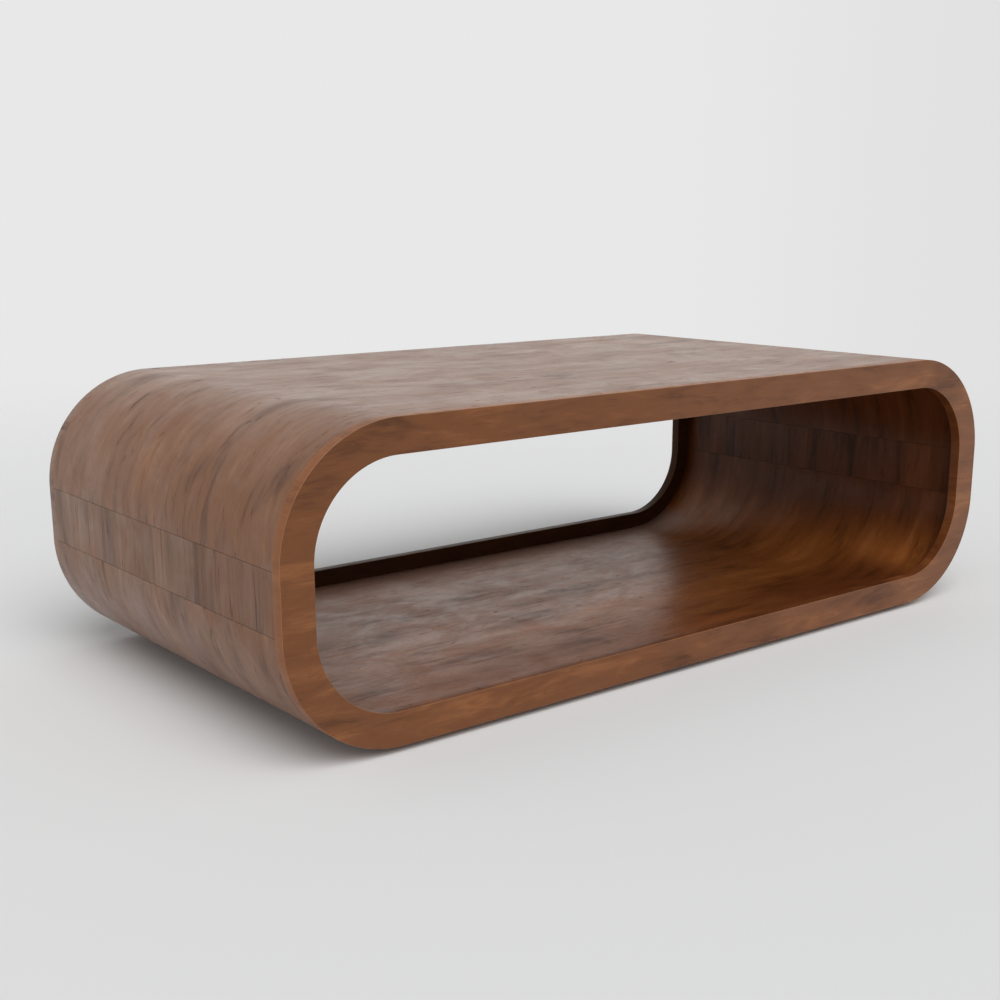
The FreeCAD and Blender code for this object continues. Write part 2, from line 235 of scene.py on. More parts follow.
class Former:
    """Draws a small outline out along flats and bends, as veneer is laid round a former."""

    BEND_STEPS = 56
    EASE_STEPS = 5
    SUPPORT = 0.0015
    DOUBLES = 2e-6
    SMOOTH = math.radians(28)

    def __init__(self, name: str, low: Sequence[float], high: Sequence[float]) -> None:
        """Lay a rectangle that is flat in one direction between two corners.

        Args:
            name: the name of the piece.
            low: its lowest corner.
            high: its highest corner; the two agree in the direction that the outline faces.
        """
        low, high = Vector(low), Vector(high)
        size = high - low
        facing = min(range(3), key=lambda axis: abs(size[axis]))
        turns = {0: (0, QUARTER_TURN, 0), 1: (QUARTER_TURN, 0, 0), 2: (0, 0, 0)}
        spans = {0: (size.z, size.y, 1), 1: (size.x, size.z, 1), 2: (size.x, size.y, 1)}
        bpy.ops.object.select_all(action="DESELECT")
        bpy.ops.mesh.primitive_plane_add(size=1, location=(low + high) / 2, rotation=turns[facing])
        self.piece = bpy.context.object
        self.piece.name = name
        self.piece.data.name = name
        self.piece.scale = spans[facing]
        bpy.ops.object.transform_apply(location=True, rotation=True, scale=True)
        bpy.ops.object.mode_set(mode="EDIT")

    def select(self, wanted: Callable[[Vector], bool]) -> None:
        """Select the vertices in chosen places.

        Args:
            wanted: says of a place whether its vertex is taken.
        """
        bpy.ops.mesh.select_all(action="DESELECT")
        bpy.ops.object.mode_set(mode="OBJECT")
        for vertex in self.piece.data.vertices:
            vertex.select = wanted(vertex.co)
        bpy.ops.object.mode_set(mode="EDIT")

    def ease(self, corners: Callable[[Vector], bool], radius: float) -> None:
        """Round corners of the outline before it is drawn out.

        Args:
            corners: says of a place whether its corner is rounded.
            radius: how far the rounding reaches.
        """
        bpy.ops.mesh.select_mode(type="VERT")
        self.select(corners)
        bpy.ops.mesh.bevel(offset=radius, segments=self.EASE_STEPS, affect="VERTICES")

    def open(self) -> "Former":
        """Leave only the edges of the outline, ready to be drawn out.

        Returns:
            The former itself.
        """
        bpy.ops.mesh.select_mode(type="VERT")
        bpy.ops.mesh.select_all(action="SELECT")
        bpy.ops.mesh.delete(type="ONLY_FACE")
        bpy.ops.mesh.select_all(action="SELECT")
        return self

    def straight(self, way: Sequence[float]) -> "Former":
        """Draw the outline straight on, with a support edge close to both ends.

        Args:
            way: the direction and the length.

        Returns:
            The former itself.
        """
        way = Vector(way)
        support = way.normalized() * self.SUPPORT
        for step in (support, way - 2 * support, support):
            bpy.ops.mesh.extrude_region_move(TRANSFORM_OT_translate={"value": step})
        return self

    def bend(self, centre: Sequence[float], angle: float, clockwise: bool) -> "Former":
        """Draw the outline round a bend whose axis runs front to back.

        Args:
            centre: a point on the axis.
            angle: how far round.
            clockwise: the way round, seen from the front.

        Returns:
            The former itself.
        """
        axis = (0, -1 if clockwise else 1, 0)
        bpy.ops.mesh.spin(steps=self.BEND_STEPS, angle=angle, center=centre, axis=axis, dupli=False)
        return self

    def done(self) -> bpy.types.Object:
        """Close the ends, merge what meets, turn the faces outwards and smooth them.

        Returns:
            The finished piece, in object mode.
        """
        bpy.ops.mesh.select_all(action="SELECT")
        bpy.ops.mesh.remove_doubles(threshold=self.DOUBLES)
        bpy.ops.mesh.select_all(action="SELECT")
        bpy.ops.mesh.fill_holes(sides=0)
        bpy.ops.mesh.select_all(action="SELECT")
        bpy.ops.mesh.normals_make_consistent(inside=False)
        bpy.ops.object.mode_set(mode="OBJECT")
        bpy.ops.object.shade_smooth_by_angle(angle=self.SMOOTH)
        return self.piece


def write_grain(piece: bpy.types.Object, run: Run, sheet: float) -> None:
    """Give each face corner its place in the sheet of veneer or strip that it was cut from.

    Args:
        piece: the finished mesh.
        run: which way its grain runs.
        sheet: a number of its own, so that no two pieces are cut from the same place.
    """
    mesh = piece.data
    places = np.zeros((len(mesh.loops), 3), np.float32)
    for polygon in mesh.polygons:
        corners = [mesh.vertices[mesh.loops[i].vertex_index].co for i in polygon.loop_indices]
        if run is Run.ALONG_THE_TABLE:
            rows = [(co.x, co.z, co.y) for co in corners]
        else:
            rounds = [OUTLINE.place(co) for co in corners]
            last = max(way for way, _ in rounds)
            rows = [
                (way + (OUTLINE.whole if last - way > OUTLINE.whole / 2 else 0), co.y, out)
                for (way, out), co in zip(rounds, corners)
            ]
        for index, (along, across, through) in zip(polygon.loop_indices, rows):
            places[index] = (along, across, through + sheet)
    attribute = mesh.attributes.new(GRAIN, "FLOAT_VECTOR", "CORNER")
    attribute.data.foreach_set("vector", places.ravel())


# How much of a face's normal lies along Y where the face belongs to a rounded edge.
ROUNDED = (0.05, 0.97)


def write_wear_and_highlight(piece: bpy.types.Object) -> None:
    """Mark the rounded edges of a frame's lipping, which hands have rubbed dull, and which are painted
    paler as a painted highlight.

    Args:
        piece: a ring that is drawn round the loop.
    """
    mesh = piece.data
    worn = np.zeros(len(mesh.loops), np.float32)
    for polygon in mesh.polygons:
        slant = abs(polygon.normal.y)
        if ROUNDED[0] < slant < ROUNDED[1]:
            worn[list(polygon.loop_indices)] = math.sin(2 * math.asin(slant))
    mesh.attributes.new(WORN_AND_HIGHLIGHT, "FLOAT", "CORNER").data.foreach_set("value", worn)


@dataclass(frozen=True)
class Noise:
    """One layer of noise: how fine it is along each axis, and how it is broken up."""

    scale: tuple[float, float, float]
    detail: float
    rough: float = 0.5
    bend: float = 0.0


# What a layer of noise comes to on average.
NOISE_MIDDLE = 0.5


class Graph:
    """A node tree that is wired in code, one node for each call."""

    def __init__(self, tree: bpy.types.NodeTree) -> None:
        """Take the tree of a material, a group or the world."""
        self.tree = tree

    def find(self, kind: str) -> bpy.types.Node:
        """The first node of a type."""
        return next(node for node in self.tree.nodes if node.type == kind)

    def feed(self, node: bpy.types.Node, inputs: dict[Union[str, int], Feed]) -> None:
        """Set a node's inputs, or wire what comes in.

        Args:
            node: the node.
            inputs: values or sockets by input name or number.
        """
        for name, value in inputs.items():
            if isinstance(value, bpy.types.NodeSocket):
                self.tree.links.new(value, node.inputs[name])
            else:
                node.inputs[name].default_value = value

    def add(self, kind: str, inputs: Optional[dict] = None, **settings) -> bpy.types.Node:
        """Add a node, set it and feed it.

        Args:
            kind: the node's type without its ShaderNode prefix.
            inputs: values or sockets by input name or number.
            settings: properties of the node.

        Returns:
            The node.
        """
        node = self.tree.nodes.new(kind if kind.startswith("NodeGroup") else f"ShaderNode{kind}")
        for name, value in settings.items():
            setattr(node, name, value)
        self.feed(node, inputs or {})
        return node

    def math(self, operation: str, *values: Feed, clamp: bool = False) -> bpy.types.NodeSocket:
        """One sum over numbers or sockets."""
        node = self.add("Math", dict(enumerate(values)), operation=operation, use_clamp=clamp)
        return node.outputs[0]

    def times(self, *values: Feed) -> bpy.types.NodeSocket:
        """The product of two numbers or sockets."""
        return self.math("MULTIPLY", *values)

    def rest(self, value: Feed) -> bpy.types.NodeSocket:
        """What is left of one when a value is taken off."""
        return self.math("SUBTRACT", 1.0, value)

    def remap(self, value: Feed, low: float, high: float, to_low: float = 0,
              to_high: float = 1) -> bpy.types.NodeSocket:
        """A smooth step from one range to another.

        Args:
            value: the number or socket that steps.
            low: where the step starts.
            high: where it ends.
            to_low: the result at its start.
            to_high: the result at its end.

        Returns:
            The socket of the result.
        """
        inputs = {"Value": value, "From Min": low, "From Max": high, "To Min": to_low, "To Max": to_high}
        return self.add("MapRange", inputs, interpolation_type="SMOOTHSTEP").outputs["Result"]

    def mix(self, factor: Feed, first: Feed, second: Feed, blend: str = "MIX") -> bpy.types.NodeSocket:
        """A blend of two colours."""
        inputs = {0: factor, 6: first, 7: second}
        return self.add("Mix", inputs, data_type="RGBA", blend_type=blend).outputs[2]

    def between(self, factor: Feed, first: Feed, second: Feed) -> bpy.types.NodeSocket:
        """A blend of two numbers."""
        return self.add("Mix", {0: factor, 2: first, 3: second}, data_type="FLOAT").outputs[0]

    def dot(self, vector: Feed, way: Sequence[float]) -> bpy.types.NodeSocket:
        """How far a vector reaches a given way."""
        return self.add("VectorMath", {0: vector, 1: way}, operation="DOT_PRODUCT").outputs["Value"]

    def noise(self, place: bpy.types.NodeSocket, layer: Noise) -> bpy.types.NodeSocket:
        """Noise over a place that is stretched along its axes.

        Args:
            place: the socket of the place.
            layer: the kind of noise.

        Returns:
            The socket of the noise, from 0 to 1.
        """
        stretched = self.add("VectorMath", {0: place, 1: layer.scale}, operation="MULTIPLY").outputs[0]
        inputs = {"Vector": stretched, "Scale": 1.0, "Detail": layer.detail,
                  "Roughness": layer.rough, "Distortion": layer.bend}
        return self.add("TexNoise", inputs, noise_dimensions="3D").outputs["Fac"]

    def swing(self, place: bpy.types.NodeSocket, layer: Noise) -> bpy.types.NodeSocket:
        """The same noise, swinging evenly to both sides of zero."""
        return self.math("SUBTRACT", self.noise(place, layer), NOISE_MIDDLE)


def new_group(name: str, takes: dict[str, str],
              gives: dict[str, str]) -> tuple[Graph, dict, bpy.types.Node]:
    """Start a shader node group with named sockets.

    Args:
        name: the group's name.
        takes: socket types by input name.
        gives: socket types by output name.

    Returns:
        The group's graph, its input sockets by name, and its output node.
    """
    tree = bpy.data.node_groups.new(name, "ShaderNodeTree")
    for way, sockets in (("INPUT", takes), ("OUTPUT", gives)):
        for title, kind in sockets.items():
            tree.interface.new_socket(title, in_out=way, socket_type=f"NodeSocket{kind}")
    graph = Graph(tree)
    start = graph.add("NodeGroupInput")
    end = graph.add("NodeGroupOutput")
    return graph, {title: start.outputs[title] for title in takes}, end


@dataclass(frozen=True)
class WalnutFigure:
    """Sliced walnut: wavy growth bands, dark streaks, fine fibres and open pores."""

    sway: Noise = Noise((1.7, 3.2, 1.0), 2.0)
    drift: Noise = Noise((0.75, 2.3, 0.6), 1.0)
    curl: Noise = Noise((11.0, 17.0, 5.0), 2.0)
    cloud: Noise = Noise((9.0, 20.0, 4.0), 3.0, 0.55, 0.6)
    band: Noise = Noise((13.0, 62.0, 8.0), 4.0, 0.6, 0.7)
    fibre: Noise = Noise((28.0, 520.0, 60.0), 2.0, 0.6)
    pore: Noise = Noise((90.0, 2100.0, 90.0), 1.0)
    growth: Noise = Noise((4.5, 44.0, 6.0), 2.0, 0.5, 0.5)
    breaks: Noise = Noise((16.0, 70.0, 5.0), 3.0, 0.7)
    cloud_share: float = 1.35
    band_share: float = 0.95
    fibre_share: float = 0.3
    line_pitch: float = 0.035
    line_width: float = 0.009
    unbroken: Span = (0.44, 0.6)
    dark_to_middle: Span = (0.12, 0.5)
    middle_to_light: Span = (0.5, 0.88)
    open_pores: Span = (0.6, 0.74)
    pore_tint: float = 0.4
    fibre_relief: float = 0.5
    pore_relief: float = 0.8
    thin_film: Span = (0.16, 0.56)
    thin_share: float = 0.5

    def group(self) -> bpy.types.NodeTree:
        """Wire the figure once for all walnut finishes.

        Returns:
            The group. Its place input has X along the grain, Y across it and Z through the sheets.
        """
        takes = {"Place": "Vector", "Wave": "Float", "Ripple": "Float", "Cathedral": "Float",
                 "Bands": "Float", "Streaks": "Float", "Stretch": "Float", "Dark": "Color",
                 "Middle": "Color", "Light": "Color"}
        gives = {"Color": "Color", "Pores": "Float", "Relief": "Float"}
        g, take, end = new_group("walnut", takes, gives)
        place = take["Place"]
        shift = g.math("ADD", g.times(g.swing(place, self.sway), take["Wave"]),
                       g.times(g.swing(place, self.drift), take["Cathedral"]))
        shift = g.math("ADD", shift, g.times(g.swing(place, self.curl), take["Ripple"]))
        parts = g.add("SeparateXYZ", {0: place})
        along = g.math("DIVIDE", parts.outputs["X"], take["Stretch"])
        across = g.math("ADD", parts.outputs["Y"], shift)
        grown = g.add("CombineXYZ", {0: along, 1: across, 2: parts.outputs["Z"]}).outputs[0]

        fibre = g.noise(grown, self.fibre)
        layers = ((g.noise(grown, self.cloud), self.cloud_share),
                  (g.noise(grown, self.band), self.band_share), (fibre, self.fibre_share))
        tone = NOISE_MIDDLE
        for layer, share in layers:
            part = g.times(g.math("SUBTRACT", layer, NOISE_MIDDLE), share)
            tone = g.math("ADD", tone, g.times(part, take["Bands"]))
        rings = g.math("PINGPONG", g.noise(grown, self.growth), self.line_pitch)
        lines = g.times(g.remap(rings, 0.0, self.line_width, 1.0, 0.0),
                        g.remap(g.noise(grown, self.breaks), *self.unbroken))
        tone = g.math("SUBTRACT", tone, g.times(lines, take["Streaks"]), clamp=True)

        low = g.mix(g.remap(tone, *self.dark_to_middle), take["Dark"], take["Middle"])
        color = g.mix(g.remap(tone, *self.middle_to_light), low, take["Light"])
        pores = g.remap(g.noise(grown, self.pore), *self.open_pores)
        color = g.mix(g.times(pores, self.pore_tint), color, take["Dark"])
        relief = g.math("SUBTRACT", g.times(fibre, self.fibre_relief), g.times(pores, self.pore_relief))
        thin = g.remap(tone, *self.thin_film, self.thin_share, 0.0)
        drawn = g.math("MAXIMUM", g.math("MAXIMUM", pores, lines), thin)
        g.feed(end, {"Color": color, "Pores": drawn, "Relief": relief})
        return g.tree


@dataclass(frozen=True)
class SatinFilm:
    """The varnish film: how its sheen varies, and the slight wave that it dried with."""

    cloud: Noise = Noise((9.0, 16.0, 5.0), 4.0, 0.6)
    wave: Noise = Noise((45.0, 80.0, 20.0), 2.0)
    patch: Noise = Noise((10.0, 14.0, 6.0), 5.0, 0.7, 0.6)
    patch_edge: Span = (0.34, 0.68)
    spread: float = 0.16
    pore_roughness: float = 0.12
    worn_roughness: float = 0.1
    drawn_in: float = 0.9

    def group(self) -> bpy.types.NodeTree:
        """Wire the film once for all walnut finishes.

        Returns:
            The group.
        """
        takes = {"Place": "Vector", "Pores": "Float", "Worn": "Float", "Roughness": "Float",
                 "Film": "Float", "Patches": "Float"}
        gives = {"Roughness": "Float", "Wave": "Float", "Thickness": "Float"}
        g, take, end = new_group("satin_film", takes, gives)
        rough = g.math("ADD", take["Roughness"], g.times(g.swing(take["Place"], self.cloud), self.spread))
        rough = g.math("ADD", rough, g.times(take["Pores"], self.pore_roughness))
        rough = g.math("ADD", rough, g.times(take["Worn"], self.worn_roughness), clamp=True)
        patches = g.remap(g.noise(take["Place"], self.patch), *self.patch_edge)
        thick = g.math("ADD", g.rest(take["Patches"]), g.times(patches, take["Patches"]))
        thick = g.times(thick, g.rest(g.times(take["Pores"], self.drawn_in)))
        thick = g.times(thick, take["Film"])
        g.feed(end, {"Thickness": thick, "Roughness": rough, "Wave": g.noise(take["Place"], self.wave)})
        return g.tree


@dataclass(frozen=True)
class RawGrain:
    """Raw wood with a plain grain, darkened where a seam has drawn the varnish in."""

    streak: Noise = Noise((8.0, 240.0, 240.0), 3.0)
    streak_share: float = 0.7
    ply_edge: Span = (0.3, 0.7)
    ply_share: float = 0.3
    pale_to_deep: Span = (0.3, 0.8)
    stain_and_painted_shade: Colour = (0.045, 0.018, 0.008, 1)

    def group(self) -> bpy.types.NodeTree:
        """Wire the grain once for all raw woods.

        Returns:
            The group.
        """
        takes = {"Place": "Vector", "Pale": "Color", "Deep": "Color", "Pitch": "Float"}
        gives = {"Color": "Color", "Relief": "Float"}
        g, take, end = new_group("raw_wood", takes, gives)
        streak = g.noise(take["Place"], self.streak)
        parts = g.add("SeparateXYZ", {0: take["Place"]})
        ply = g.math("DIVIDE", g.math("PINGPONG", parts.outputs["Y"], take["Pitch"]), take["Pitch"])
        tone = g.math("ADD", g.times(streak, self.streak_share),
                      g.times(g.remap(ply, *self.ply_edge), self.ply_share))
        color = g.mix(g.remap(tone, *self.pale_to_deep), take["Pale"], take["Deep"])
        up = parts.outputs["Z"]
        from_seams = [g.math("ABSOLUTE", g.math("SUBTRACT", up, seam)) for seam in SIZES.seams]
        nearest = g.math("MINIMUM", *from_seams)
        drawn_in = g.remap(nearest, SIZES.seam_gap, 2 * SIZES.seam_gap, 1.0, 0.0)
        color = g.mix(drawn_in, color, self.stain_and_painted_shade)
        g.feed(end, {"Color": color, "Relief": streak})
        return g.tree


@dataclass(frozen=True)
class InsidePaintedShade:
    """Where shade is painted on the veneer inside the loop, where its film is thin and where a sheen is
    painted.

    The painted shade grows away from the lightest place of the shelf towards the two ends, most of all
    up them, and along the front of the shelf. The film is thin in the same places. A painted sheen
    greys and lightens the shelf close to the back lip. Places are in metres, and the rest are shares.
    """

    lightest: float = -0.09
    ends: Span = (0.19, 0.47)
    end_painted_shade: float = 0.3
    rising: Span = (0.018, 0.116)
    rising_painted_shade: float = 0.7
    off_the_shelf: Span = (0.018, 0.05)
    front: Span = (-0.04, -0.2)
    front_from_left: Span = (-0.8, -0.2)
    front_painted_shade: float = 0.72
    rubbed_from_left: Span = (-0.45, 0.1)
    rubbed: Span = (0.25, 0.75)
    most_rubbed: float = 0.84
    # The painted sheen: from here to the back lip the shelf is greyed and lightened.
    dust_from: float = 0.19
    dust: float = 0.7

    def group(self) -> bpy.types.NodeTree:
        """Wire the painted shade once for the finishes inside the loop.

        Returns:
            The group.
        """
        gives = {"Stain": "Float", "Rubbed": "Float", "Dust": "Float"}
        g, take, end = new_group("stain", {"Place": "Vector"}, gives)
        parts = g.add("SeparateXYZ", {0: take["Place"]})
        along, across, up = (parts.outputs[axis] for axis in "XYZ")
        aside = g.math("ABSOLUTE", g.math("ADD", along, -self.lightest))
        # Painted shade: darker towards the two ends of the shelf, and most of all up the walls of the loop.
        stain_and_painted_shade = g.math("ADD", g.remap(aside, *self.ends, 0.0, self.end_painted_shade),
                         g.remap(up, *self.rising, 0.0, self.rising_painted_shade), clamp=True)
        shelf = g.remap(up, *self.off_the_shelf, 1.0, 0.0)
        # Painted shade along the front of the shelf, fading out towards its left end.
        front = g.times(g.remap(across, *self.front), g.remap(along, *self.front_from_left))
        front = g.times(front, shelf)
        total = g.math("ADD", stain_and_painted_shade, g.times(front, self.front_painted_shade), clamp=True)
        rubbed = g.times(front, g.remap(along, *self.rubbed_from_left, *self.rubbed))
        thin = g.math("MINIMUM", g.math("ADD", stain_and_painted_shade, rubbed), self.most_rubbed)
        # Painted sheen on the shelf close to the back lip.
        dust = g.times(g.remap(across, self.dust_from, SIZES.panel_edge, 0.0, self.dust), shelf)
        g.feed(end, {"Stain": total, "Rubbed": thin, "Dust": dust})
        return g.tree


WALNUT_FIGURE = WalnutFigure().group()
SATIN_FILM = SatinFilm().group()
RAW_GRAIN = RawGrain().group()
INSIDE_PAINTED_SHADE = InsidePaintedShade().group()


def new_material(name: str) -> tuple[bpy.types.Material, Graph, bpy.types.Node]:
    """Start a material.

    Args:
        name: the material's name.

    Returns:
        The material, its graph and its surface shader.
    """
    material = bpy.data.materials.new(name)
    material.use_nodes = True
    graph = Graph(material.node_tree)
    return material, graph, graph.find("BSDF_PRINCIPLED")


@dataclass(frozen=True)
class Walnut:
    """Varnished walnut veneer, with the colours and the figure of one sheet."""

    name: str
    dark: Colour = (0.084, 0.030, 0.011, 1)
    middle: Colour = (0.178, 0.066, 0.021, 1)
    light: Colour = (0.262, 0.110, 0.043, 1)
    wave: float = 0.03
    cathedral: float = 0.06
    bands: float = 0.72
    ripple: float = 0.01
    streaks: float = 0.26
    stretch: float = 1.15
    roughness: float = 0.34
    index: float = 1.31
    film: float = 0.6
    patches: float = 0.68
    film_roughness: float = 0.25
    sheen: Colour = (1.0, 0.91, 0.83, 1)
    # The colour that multiplies in the painted shade inside the loop; None leaves it out.
    stain: Optional[Colour] = None
    # The grey that is painted in as sheen close to the back lip.
    dust: Colour = (0.34, 0.25, 0.21, 1)
    # The paler colour painted on rounded lipping edges as a highlight, and how much of it.
    worn_colour: Colour = (0.42, 0.24, 0.13, 1)
    worn_share: float = 0.35
    fibre_bump: float = 0.22
    fibre_height: float = 0.0002
    wave_bump: float = 0.25
    wave_height: float = 0.0006

    def material(self) -> bpy.types.Material:
        """Wire the finish.

        Returns:
            The material.
        """
        material, g, shader = new_material(self.name)
        place = g.add("Attribute", attribute_name=GRAIN).outputs["Vector"]
        worn = g.add("Attribute", attribute_name=WORN_AND_HIGHLIGHT).outputs["Fac"]
        wood = g.add("Group", {
            "Place": place, "Wave": self.wave, "Ripple": self.ripple, "Cathedral": self.cathedral,
            "Bands": self.bands, "Streaks": self.streaks, "Stretch": self.stretch,
            "Dark": self.dark, "Middle": self.middle, "Light": self.light,
        }, node_tree=WALNUT_FIGURE)
        film = g.add("Group", {
            "Place": place, "Pores": wood.outputs["Pores"], "Worn": worn, "Roughness": self.roughness,
            "Film": self.film, "Patches": self.patches,
        }, node_tree=SATIN_FILM)
        color, thickness = wood.outputs["Color"], film.outputs["Thickness"]
        # Inside the loop the colour is darkened by painted shade, and the film is thinned where the shade
        # is painted and along the front of the shelf.
        if self.stain is not None:
            here = g.add("TexCoord").outputs["Object"]
            inside = g.add("Group", {"Place": here}, node_tree=INSIDE_PAINTED_SHADE)
            color = g.mix(inside.outputs["Stain"], color, self.stain, "MULTIPLY")
            # A painted sheen greys and lightens the shelf close to the back lip.
            color = g.mix(inside.outputs["Dust"], color, self.dust)
            thickness = g.times(thickness, g.rest(inside.outputs["Rubbed"]))
        # Rounded lipping edges are painted paler: a painted highlight.
        color = g.mix(g.times(worn, self.worn_share), color, self.worn_colour)
        fibres = g.add("Bump", {"Strength": self.fibre_bump, "Distance": self.fibre_height,
                                "Height": wood.outputs["Relief"]})
        relief = g.add("Bump", {"Strength": self.wave_bump, "Distance": self.wave_height,
                                "Height": film.outputs["Wave"], "Normal": fibres.outputs[0]})
        g.feed(shader, {
            "Base Color": color, "Roughness": film.outputs["Roughness"], "Normal": relief.outputs[0],
            "IOR": self.index, "Specular Tint": self.sheen,
            "Coat Weight": thickness, "Coat Roughness": self.film_roughness,
        })
        return material


@dataclass(frozen=True)
class RawWood:
    """Unfinished wood of the hidden pieces."""

    name: str
    pale: Colour
    deep: Colour
    pitch: float
    roughness: float
    spread: float = 0.08
    streaks: Span = (0.2, 0.8)
    bump: float = 0.3
    bump_height: float = 0.0003

    def material(self) -> bpy.types.Material:
        """Wire the finish.

        Returns:
            The material.
        """
        material, g, shader = new_material(self.name)
        place = g.add("TexCoord").outputs["Object"]
        wood = g.add("Group", {
            "Place": place, "Pale": self.pale, "Deep": self.deep, "Pitch": self.pitch,
        }, node_tree=RAW_GRAIN)
        relief = wood.outputs["Relief"]
        rough = g.remap(relief, *self.streaks, self.roughness - self.spread, self.roughness + self.spread)
        bump = g.add("Bump", {"Strength": self.bump, "Distance": self.bump_height, "Height": relief})
        g.feed(shader, {"Base Color": wood.outputs["Color"], "Roughness": rough, "Normal": bump.outputs[0]})
        return material


LOOP_OUTSIDE = Walnut("walnut_loop_outside")
LOOP_STRIP = Walnut(
    "walnut_loop_strip", dark=(0.074, 0.027, 0.010, 1), middle=(0.160, 0.059, 0.018, 1),
    light=(0.25, 0.102, 0.037, 1), wave=0.01, cathedral=0.02, ripple=0.004, bands=0.82,
    stretch=2.6,
)
# The inside veneer is lighter and redder than the outside one: painted light that lifts the shelf. Its
# painted shade darkens it again towards the ends and up the walls.
LOOP_INSIDE = Walnut(
    "walnut_loop_inside", dark=(0.150, 0.045, 0.009, 1), middle=(0.345, 0.108, 0.022, 1),
    light=(0.48, 0.168, 0.041, 1), bands=0.85, roughness=0.36, index=1.25, film=1.0,
    film_roughness=0.32, patches=0.75, streaks=0.1, stain=(0.29, 0.253, 0.34, 1), stretch=1.3,
)
STRIP_INSIDE = replace(LOOP_INSIDE, name="walnut_strip_inside", bands=1.1, streaks=0.22, stretch=2.2)
FRAME_FACE = Walnut(
    "walnut_frame_face", dark=(0.076, 0.023, 0.0065, 1), middle=(0.157, 0.052, 0.0148, 1),
    light=(0.25, 0.092, 0.028, 1), cathedral=0.03, bands=0.84, streaks=0.1, index=1.42, film=0.15,
)
# A darker copy of the face veneer for the front frame's inner lipping: painted shade inside the opening.
FRAME_LIP_PAINTED_SHADE = replace(
    FRAME_FACE, name="walnut_frame_lip_painted_shade", dark=(0.056, 0.016, 0.0048, 1),
    middle=(0.128, 0.038, 0.0112, 1), light=(0.21, 0.070, 0.022, 1), index=1.3, film=0.04,
)
# Very dark walnut for the backing veneers and the back frame's inner lipping: painted shade on the faces
# that look into the loop.
FRAME_BACK_PAINTED_SHADE = Walnut(
    "walnut_frame_back_painted_shade", dark=(0.025, 0.009, 0.003, 1), middle=(0.053, 0.019, 0.0065, 1),
    light=(0.085, 0.031, 0.011, 1), wave=0.02, cathedral=0.02, bands=0.75, streaks=0.18,
    index=1.18, film=0.02,
)
VENEER_END = Walnut(
    "walnut_veneer_end", dark=(0.025, 0.009, 0.004, 1), middle=(0.045, 0.018, 0.008, 1),
    light=(0.065, 0.027, 0.012, 1), index=1.2, film=0.0,
)
FRAME_EDGE = Walnut(
    "walnut_frame_edge", dark=(0.11, 0.034, 0.010, 1), middle=(0.235, 0.080, 0.022, 1),
    light=(0.33, 0.125, 0.040, 1), wave=0.01, cathedral=0.0, bands=0.7, streaks=0.1, film=0.2,
)
PLYWOOD = RawWood(
    "core_plywood", pale=(0.46, 0.33, 0.19, 1), deep=(0.30, 0.19, 0.10, 1), pitch=0.0013, roughness=0.8,
)
BEECH = RawWood(
    "beech", pale=(0.55, 0.38, 0.22, 1), deep=(0.42, 0.26, 0.14, 1), pitch=0.004, roughness=0.7,
)


class Wardrobe:
    """Makes each finish once and hands it out."""

    def __init__(self) -> None:
        """Start with no materials."""
        self.made: dict[str, bpy.types.Material] = {}

    def get(self, finish: Union[Walnut, RawWood]) -> bpy.types.Material:
        """Find the material of a finish, or make it at its first use.

        Args:
            finish: the finish.

        Returns:
            Its material.
        """
        if finish.name not in self.made:
            self.made[finish.name] = finish.material()
        return self.made[finish.name]


WARDROBE = Wardrobe()


def dress(piece: bpy.types.Object, node: str, finishes: Iterable[Walnut]) -> None:
    """Give a new piece its finishes and put it in the place of its CAD node.

    Args:
        piece: the finished mesh.
        node: the CAD node that it stands for.
        finishes: the finishes in the order of the mesh's material numbers.
    """
    for finish in finishes:
        piece.data.materials.append(WARDROBE.get(finish))
    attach(piece, "root")
    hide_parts(node)
    log.info("%s: %d faces, stands for %s", piece.name, len(piece.data.polygons), node)


# How squarely a face has to look along an axis to count as an end or a front.
END_FACING = 0.9
FRONT_FACING = 0.6


def darken_ends(piece: bpy.types.Object) -> None:
    """Give the two cut ends of a loop veneer, deep in the seams, the second finish.

    Args:
        piece: a veneer of the loop, from seam to seam.
    """
    for polygon in piece.data.polygons:
        at_seam = min(abs(polygon.center.z - seam) for seam in SIZES.seams) < SIZES.seam_gap
        polygon.material_index = int(at_seam and abs(polygon.normal.z) > END_FACING)


